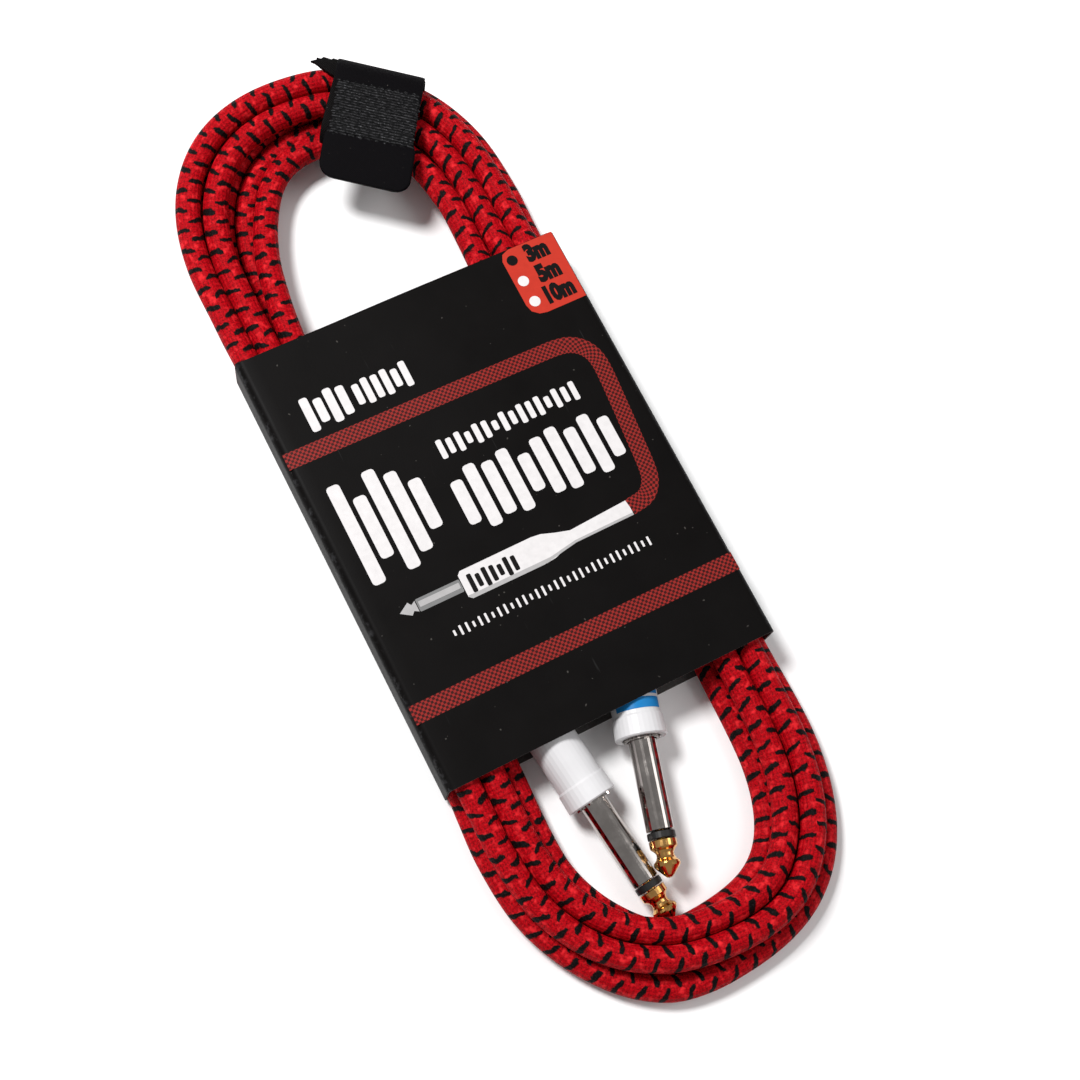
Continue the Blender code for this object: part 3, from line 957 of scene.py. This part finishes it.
def pile_material():
    """The loop patch: matted black nylon loops in loose rows, with painted light on the loop tops and
    painted glints.
    """
    s = Shade("strap_loop_pile")
    along, _, both = s.uv()
    drawn_out = s.scaled(both, (1.0, 0.4, 1.0))
    loops = s.noise(drawn_out, 2300, 4, 0.75)
    tufts = s.noise(drawn_out, 900, 2)
    rows = s.times_add(tufts, 5.0, s.times(along, math.tau / (0.72 * MM)))
    rows = s.times_add(s.math("SINE", rows), 0.5, 0.5)
    lit = s.times(rows, s.step(loops, 0.4, 0.68))
    glint = s.times(rows, s.step(s.noise(drawn_out, 3200, 2), 0.58, 0.7))
    colour = s.mix(lit, (0.003, 0.003, 0.0033), (0.062, 0.06, 0.064))
    colour = s.mix(s.times(glint, 0.5), colour, (0.2, 0.2, 0.21))
    s.bump(s.times_add(loops, 0.7, rows), 0.35 * MM, 1.0)
    return s.set(Base_Color=colour, Roughness=0.75, Specular_IOR_Level=0.1)


def rounded_path(corners, step):
    """Even points round a closed path of (y, z, radius) corners, anticlockwise."""
    points = []
    for i, (y, z, radius) in enumerate(corners):
        here = Vector((y, z))
        before = (Vector(corners[i - 1][:2]) - here).normalized()
        after = (Vector(corners[(i + 1) % len(corners)][:2]) - here).normalized()
        centre = here + (before + after) * radius
        start = math.atan2(*reversed(here + before * radius - centre))
        for j in range(BEND_STEPS + 1):
            angle = start + math.radians(90 * j / BEND_STEPS)
            points.append(centre + radius * Vector((math.cos(angle), math.sin(angle))))
    points.append(points[0])
    run = [0.0]
    for a, b in zip(points, points[1:]):
        run.append(run[-1] + (b - a).length)
    even = np.linspace(0, run[-1], round(run[-1] / step) + 1)[:-1]
    spots = np.array([tuple(point) for point in points])
    return np.stack([np.interp(even, run, spots[:, i]) for i in (0, 1)], 1)


def add_webbing(name, rows, thick, mat, closed):
    """A woven tape from its rows of (centre, outward normal, half width) in the strap's frame.

    Its rims are rounded, and its UVs are metres along and across it."""
    # shares of the half width and of the thickness, once round the tape
    ring = [
        (-1.0, -0.25), (-0.97, 0.0), (-1.0, 0.25), (-0.985, 0.42), (-0.94, 0.5),
        (-0.5, 0.5), (0.0, 0.5), (0.5, 0.5),
        (0.94, 0.5), (0.985, 0.42), (1.0, 0.25), (0.97, 0.0), (1.0, -0.25), (0.985, -0.42), (0.94, -0.5),
        (0.5, -0.5), (0.0, -0.5), (-0.5, -0.5),
        (-0.94, -0.5), (-0.985, -0.42),
    ]
    side = Vector((1, 0, 0))
    count = len(ring)
    verts, places = [], []
    far = 0.0
    for i, (centre, out, half) in enumerate(rows):
        if i:
            far += (centre - rows[i - 1][0]).length
        for share, up in ring:
            verts.append(STRAP_PLACE @ (centre + side * (share * half) + out * (up * thick)))
            places.append((far, share * half))
    faces = []
    last = len(rows) if closed else len(rows) - 1
    for i in range(last):
        nxt = (i + 1) % len(rows)
        for j in range(count):
            k = (j + 1) % count
            faces.append((i * count + j, i * count + k, nxt * count + k, nxt * count + j))
    if not closed:
        faces.append(tuple(range(count)))
        faces.append(tuple(range((len(rows) - 1) * count, len(rows) * count)))
    mesh = bpy.data.meshes.new(name)
    mesh.from_pydata(verts, [], faces)
    set_uvs(mesh, faces, places)
    mesh.materials.append(mat)
    mesh.shade_smooth()
    turn_faces_out(mesh)
    made = add_object(name, mesh)
    return made


def smooth_step(value, low, high):
    share = min(max((value - low) / (high - low), 0.0), 1.0)
    return share * share * (3 - 2 * share)


def add_strap_loop(mat):
    """The turn round the bundle. Its under side runs a little askew, as a hand-pulled strap does."""
    low, high = STRAP_Y[0] + STRAP_THICK / 2, STRAP_Y[1] - PULLED_IN - STRAP_THICK / 2
    top = STRAP_HEIGHT - STRAP_THICK / 2
    floor = STRAP_THICK / 2
    corners = [
        (low, floor, LOOP_SMALL_CORNER),
        (high, floor, LOOP_SMALL_CORNER),
        (high, top, LOOP_CORNER),
        (low, top, LOOP_SMALL_CORNER),
    ]
    path = rounded_path(corners, LOOP_STEP)
    rows = []
    for i, (y, z) in enumerate(path):
        ahead = path[(i + 1) % len(path)] - path[i - 1]
        ahead = Vector((0, *ahead)).normalized()
        out = ahead.cross(Vector((1, 0, 0))).normalized() * -1
        under = smooth_step(-z, -9 * MM, -2 * MM) * smooth_step(-y, -6 * MM, 8 * MM)
        centre = Vector((-3.4 * MM * under, y, z))
        rows.append((centre, out, STRAP_WIDTH / 2))
    loop = add_webbing("strap_loop_band", rows, STRAP_THICK, mat, True)
    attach(loop, "cable")
    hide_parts("strap_loop")


def flap_point(x, y):
    """The flap's mid-height, which follows the loop, dips over its inner edge and lifts at the tip."""
    middle = FLAP_TOP - FLAP_THICK / 2
    over = smooth_step(-y, 11 * MM, 24 * MM)
    curl = 0.25 * MM * (x / (0.5 * STRAP_WIDTH)) ** 2 * over
    wave = 0.05 * MM * math.sin(y / (3 * MM) + x / (6 * MM))
    # the root bends down round the loop's rounded outer corner
    past = max(y - (STRAP_Y[1] - PULLED_IN - STRAP_THICK / 2 - LOOP_CORNER), 0.0)
    root_drop = LOOP_CORNER - math.sqrt(LOOP_CORNER**2 - past**2)
    return middle - 1.3 * MM * over + curl + wave - root_drop


def flap_lean(y):
    """The flap isn't pressed down quite square to the loop."""
    return FLAP_LEAN * (FLAP_ROOT_Y - y) + FLAP_ASIDE * smooth_step(-y, -6 * MM, 2 * MM)


def flap_half_width(y):
    """Half the flap's width: a little waisted at the patch, and wider at the round-cornered tab."""
    waist = 0.6 * MM * smooth_step(-y, -4.0 * MM, 1.0 * MM)
    tab = 0.9 * MM * smooth_step(-y, 9 * MM, 13 * MM)
    half = FLAP_HALF_WIDTH - waist + tab
    into = FLAP_END_Y + FLAP_CORNER - y
    if into > 0:
        half -= FLAP_CORNER - math.sqrt(max(FLAP_CORNER**2 - into**2, 0.0))
    return half


def add_flap(mat):
    """The strap's free end, laid over the loop. Its rows are closer together near its tip."""
    rows = []
    for i in range(FLAP_ROWS + 1):
        share = i / FLAP_ROWS
        y = FLAP_ROOT_Y + (FLAP_END_Y - FLAP_ROOT_Y) * (1 - (1 - share) ** 1.25)
        half = flap_half_width(y)
        z, ahead_z = flap_point(0, y), flap_point(0, y - 0.1 * MM)
        ahead = Vector((0, -0.1 * MM, ahead_z - z)).normalized()
        out = Vector((1, 0, 0)).cross(ahead) * -1
        centre = Vector((flap_lean(y), y, z))
        rows.append((centre, out, max(half, 0.3 * MM)))
    flap = add_webbing("strap_flap_tab", rows, FLAP_THICK, mat, False)
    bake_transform(flap)
    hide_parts("strap_flap")


def add_patch():
    """The rough loop patch, a crumpled pile with ragged rims on the flap's upper side."""
    low, high = PATCH_Y
    verts, places = [], []
    for i in range(PATCH_LINES + 1):
        y_share = i / PATCH_LINES
        side_waves = math.sin(37.0 * y_share + 2.0 * math.sin(9.0 * y_share)) + math.sin(71.0 * y_share)
        for j in range(PATCH_COLUMNS + 1):
            x_share = 2 * j / PATCH_COLUMNS - 1
            ragged = 0.22 * MM * side_waves
            x = x_share * (PATCH_HALF_WIDTH + ragged * abs(x_share) ** 6)
            edge = 0.3 * MM * (math.sin(31.0 * x_share) + 0.6 * math.sin(67.0 * x_share + 1.0))
            slant = 0.4 * MM * x_share
            y = low + (high - low) * y_share + (edge + slant) * abs(2 * y_share - 1) ** 6
            rim = max(abs(x_share), abs(2 * y_share - 1))
            tuft = math.sin(5.1 * j + 3.3 * math.sin(1.7 * i))
            tuft *= math.sin(4.3 * i + 2.7 * math.sin(2.3 * j))
            raise_by = (0.42 + 0.13 * tuft) * MM * (1 - rim**14)
            z = flap_point(0, y) + FLAP_THICK / 2 - 0.06 * MM + raise_by
            verts.append(STRAP_PLACE @ Vector((x + flap_lean(y), y, z)))
            places.append((y, x))
    faces = grid_faces(PATCH_LINES, PATCH_COLUMNS)
    mesh = bpy.data.meshes.new("strap_patch")
    mesh.from_pydata(verts, [], faces)
    set_uvs(mesh, faces, places)
    mesh.materials.append(pile_material())
    mesh.shade_smooth()
    patch = add_object("strap_patch", mesh)
    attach(patch, "flap")


def add_cut_end(mat):
    """The strap's cut end beside the loop, frayed into uneven teeth."""
    edge = -STRAP_WIDTH / 2 + 0.6 * MM
    top_z = STRAP_HEIGHT - 0.9 * MM
    # the upper rim in mm, as (reach out from the edge, place along the strap)
    rim = [
        (0.0, 4.6), (0.0, 9.6), (2.0, 9.9), (2.4, 9.4), (4.4, 9.7),
        (4.9, 8.9), (6.0, 9.0), (5.9, 8.3), (7.2, 7.6),
    ]
    outline = [(edge - reach * MM, y * MM) for reach, y in rim]
    teeth = 10
    for i in range(teeth + 1):
        share = i / teeth
        reach = 5.6 * MM * (1 - share) ** 0.8 + 0.4 * MM
        tooth = 0.75 * MM * math.sin(2.6 * i + 1.0) * (1.2 - 0.6 * share)
        outline.append((edge - reach + tooth, 7.4 * MM - 2.6 * MM * share - 0.3 * tooth))
    bm = bmesh.new()
    verts = [bm.verts.new((x, y, top_z)) for x, y in outline]
    edges = [bm.edges.new((verts[i - 1], verts[i])) for i in range(len(verts))]
    bmesh.ops.triangle_fill(bm, use_beauty=True, edges=edges)
    grown = bmesh.ops.extrude_face_region(bm, geom=bm.faces[:])["geom"]
    lower = [item for item in grown if isinstance(item, bmesh.types.BMVert)]
    bmesh.ops.translate(bm, verts=lower, vec=(0, 0, -CUT_END_THICK))
    bmesh.ops.subdivide_edges(bm, edges=bm.edges, cuts=2, use_grid_fill=True)
    layer = bm.loops.layers.uv.new("weave")
    for face in bm.faces:
        for loop in face.loops:
            loop[layer].uv = (loop.vert.co.x, loop.vert.co.y)
    for vert in bm.verts:
        droop = smooth_step(vert.co.y, 8.0 * MM, 11 * MM) * 0.7 * MM
        vert.co.z -= droop + 0.04 * (edge - vert.co.x)
    bmesh.ops.recalc_face_normals(bm, faces=bm.faces)
    bmesh.ops.transform(bm, matrix=STRAP_PLACE, verts=bm.verts)
    mesh = bpy.data.meshes.new("strap_frayed_end")
    bm.to_mesh(mesh)
    bm.free()
    mesh.materials.append(mat)
    frayed = add_object("strap_frayed_end", mesh)
    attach(frayed, "cable")
    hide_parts("strap_cut_end")


def add_strap():
    band = webbing_material(
        "strap_webbing",
        dark=(0.002, 0.0017, 0.0018),
        light=(0.013, 0.0115, 0.0115),
        ribs=0.62 * MM,
        rib_height=0.12 * MM,
    )
    # a darker copy of the webbing for the tab: painted shade for the free end bending down and away from
    # the light
    tab = webbing_material(
        "strap_tab_webbing_painted_shade",
        dark=(0.0016, 0.0013, 0.0018),
        light=(0.0052, 0.0045, 0.0054),
        ribs=0.45 * MM,
        rib_height=0.07 * MM,
    )
    add_strap_loop(band)
    add_flap(tab)
    add_patch()
    add_cut_end(band)


# ---------------------------------------------------------------- the plugs


def metal_material(name, dark, light, roughness, scratch_scale):
    """Polished plate with faint turning marks, smudges and slightly darker spots."""
    s = Shade(name)
    space = s.object_space()
    smudge = s.noise(space, 260, 4, 0.6)
    marks = s.noise(space, scratch_scale, 3, 0.7)
    colour = s.mix(s.step(smudge, 0.35, 0.7), dark, light)
    rough = s.times_add(s.step(smudge, 0.5, 0.75), 0.05, roughness)
    s.bump(marks, 0.002 * MM, 0.4)
    return s.set(Base_Color=colour, Roughness=rough, Metallic=1.0)


def plastic_material(name, dark, light, roughness, grain_height, specular=0.5):
    """Moulded plastic with a fine grain and a slow drift in tone."""
    s = Shade(name)
    space = s.object_space()
    drift = s.noise(space, 120, 3)
    grain = s.noise(space, 3000, 2)
    colour = s.mix(drift, dark, light)
    rough = s.times_add(drift, 0.12, roughness)
    s.bump(grain, grain_height, 0.5)
    return s.set(Base_Color=colour, Roughness=rough, Specular_IOR_Level=specular)


def dress_plugs():
    """Puts the finishes on the CAD pieces that stay: the plugs' and the card's glued overlap."""
    fine, coarse = 4000, 2500
    white = plastic_material("plug_white", (0.6, 0.59, 0.6), (0.68, 0.67, 0.68), 0.34, 0.012 * MM)
    nickel = metal_material("plug_nickel", (0.4, 0.365, 0.345), (0.5, 0.46, 0.435), 0.09, fine)
    gold = metal_material("plug_gold", (0.66, 0.34, 0.1), (0.82, 0.47, 0.16), 0.12, fine)
    dark, light = (0.006, 0.006, 0.006), (0.014, 0.013, 0.013)
    black = plastic_material("plug_black", dark, light, 0.35, 0.01 * MM, 0.3)
    tinned = metal_material("plug_tinned", (0.4, 0.4, 0.4), (0.62, 0.62, 0.6), 0.3, coarse)
    copper = metal_material("plug_copper", (0.55, 0.24, 0.13), (0.75, 0.38, 0.24), 0.3, coarse)
    core = plastic_material("plug_core", (0.62, 0.62, 0.6), (0.74, 0.74, 0.7), 0.45, 0.01 * MM)
    dark, light = (0.3, 0.003, 0.008), (0.42, 0.006, 0.012)
    jacket = plastic_material("plug_jacket", dark, light, 0.7, 0.06 * MM, 0.2)
    looks = [
        (white, ("grip", "strain_relief")),
        (nickel, ("barrel", "lock_washer")),
        (gold, ("tip",)),
        (black, ("tip_ring", "bush", "rear_washer")),
        (tinned, ("ground_ring", "ground_lug")),
        (copper, ("tip_lug",)),
        (core, ("core_wire",)),
        (jacket, ("cable_end",)),
    ]
    for mat, parts in looks:
        for part in parts:
            for letter in PLUGS:
                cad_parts[f"plug_{letter}_{part}"].material_slots[0].material = mat
    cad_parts["card_glue_flap"].material_slots[0].material = board_material()


def add_grip_bands():
    """Three blue printed stripes across the upper side of plug A's grip, with narrow white gaps."""
    blue = ink_material("ink_blue", (0.015, 0.2, 0.5), 0.35)
    point, ahead = PLUGS["a"]
    turn = ahead.to_track_quat("Z", "Y").to_matrix()
    up = turn.inverted() @ Vector((0, 0, 1))
    facing = math.atan2(up.y, up.x)
    bands = [(-5.9, -8.4), (-9.1, -11.6), (-12.3, -16.5)]
    slices, steps, half_span = 30, 6, 62
    for index, (front, back) in enumerate(bands):
        verts = []
        for i in range(slices + 1):
            angle = facing + math.radians(half_span * (2 * i / slices - 1))
            x, y = GRIP_PRINT_RADIUS * math.cos(angle), GRIP_PRINT_RADIUS * math.sin(angle)
            for j in range(steps + 1):
                z = (front + (back - front) * j / steps) * MM
                verts.append(point + turn @ Vector((x, y, z)))
        mesh = bpy.data.meshes.new("plug_a_stripe")
        mesh.from_pydata(verts, [], grid_faces(slices, steps))
        mesh.materials.append(blue)
        mesh.shade_smooth()
        stripe = add_object(f"plug_a_stripe_{index + 1}", mesh)
        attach(stripe, "cable")


def main():
    add_camera()
    add_stage()
    add_cable()
    add_card()
    add_card_print()
    add_strap()
    dress_plugs()
    add_grip_bands()


main()
